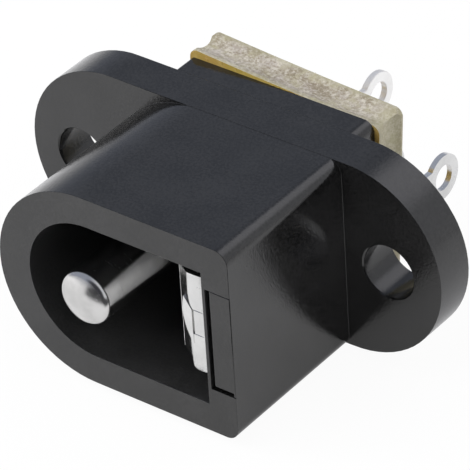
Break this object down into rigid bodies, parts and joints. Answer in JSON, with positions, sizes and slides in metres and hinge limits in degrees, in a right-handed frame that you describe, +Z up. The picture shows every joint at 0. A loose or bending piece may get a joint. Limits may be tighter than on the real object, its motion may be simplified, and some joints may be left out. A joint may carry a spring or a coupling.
{
  "type": "dc barrel jack",
  "caption": "Panel-mounting dc barrel jack with a D-shaped shroud, an eared flange, a centre pin, a sprung sleeve contact and solder tags on a laminate plate.",
  "frame": {"origin": "on the centre pin's axis, at the front face of the flange", "axes": "+X along the flange towards the shroud's flat side, +Y back from the socket's mouth to the solder tags, +Z up"},
  "size_m": [0.0212, 0.0186, 0.0101],
  "materials": {
    "black_moulding": "black thermoplastic moulding, glossy faces",
    "laminate": "amber paper laminate with pale punched edges",
    "nickel_pin": "nickel-plated turned pin",
    "tinned_tag": "tinned stamped tag",
    "contact_strip": "silver-plated spring strip"
  },
  "bodies": {
    "root": {"housing": "black_moulding", "wall_key": "black_moulding", "terminal_plate": "laminate", "centre_pin": "nickel_pin", "pin_tag": "tinned_tag", "sleeve_contact": "contact_strip", "switch_contact": "contact_strip"}
  },
  "joints": []
}
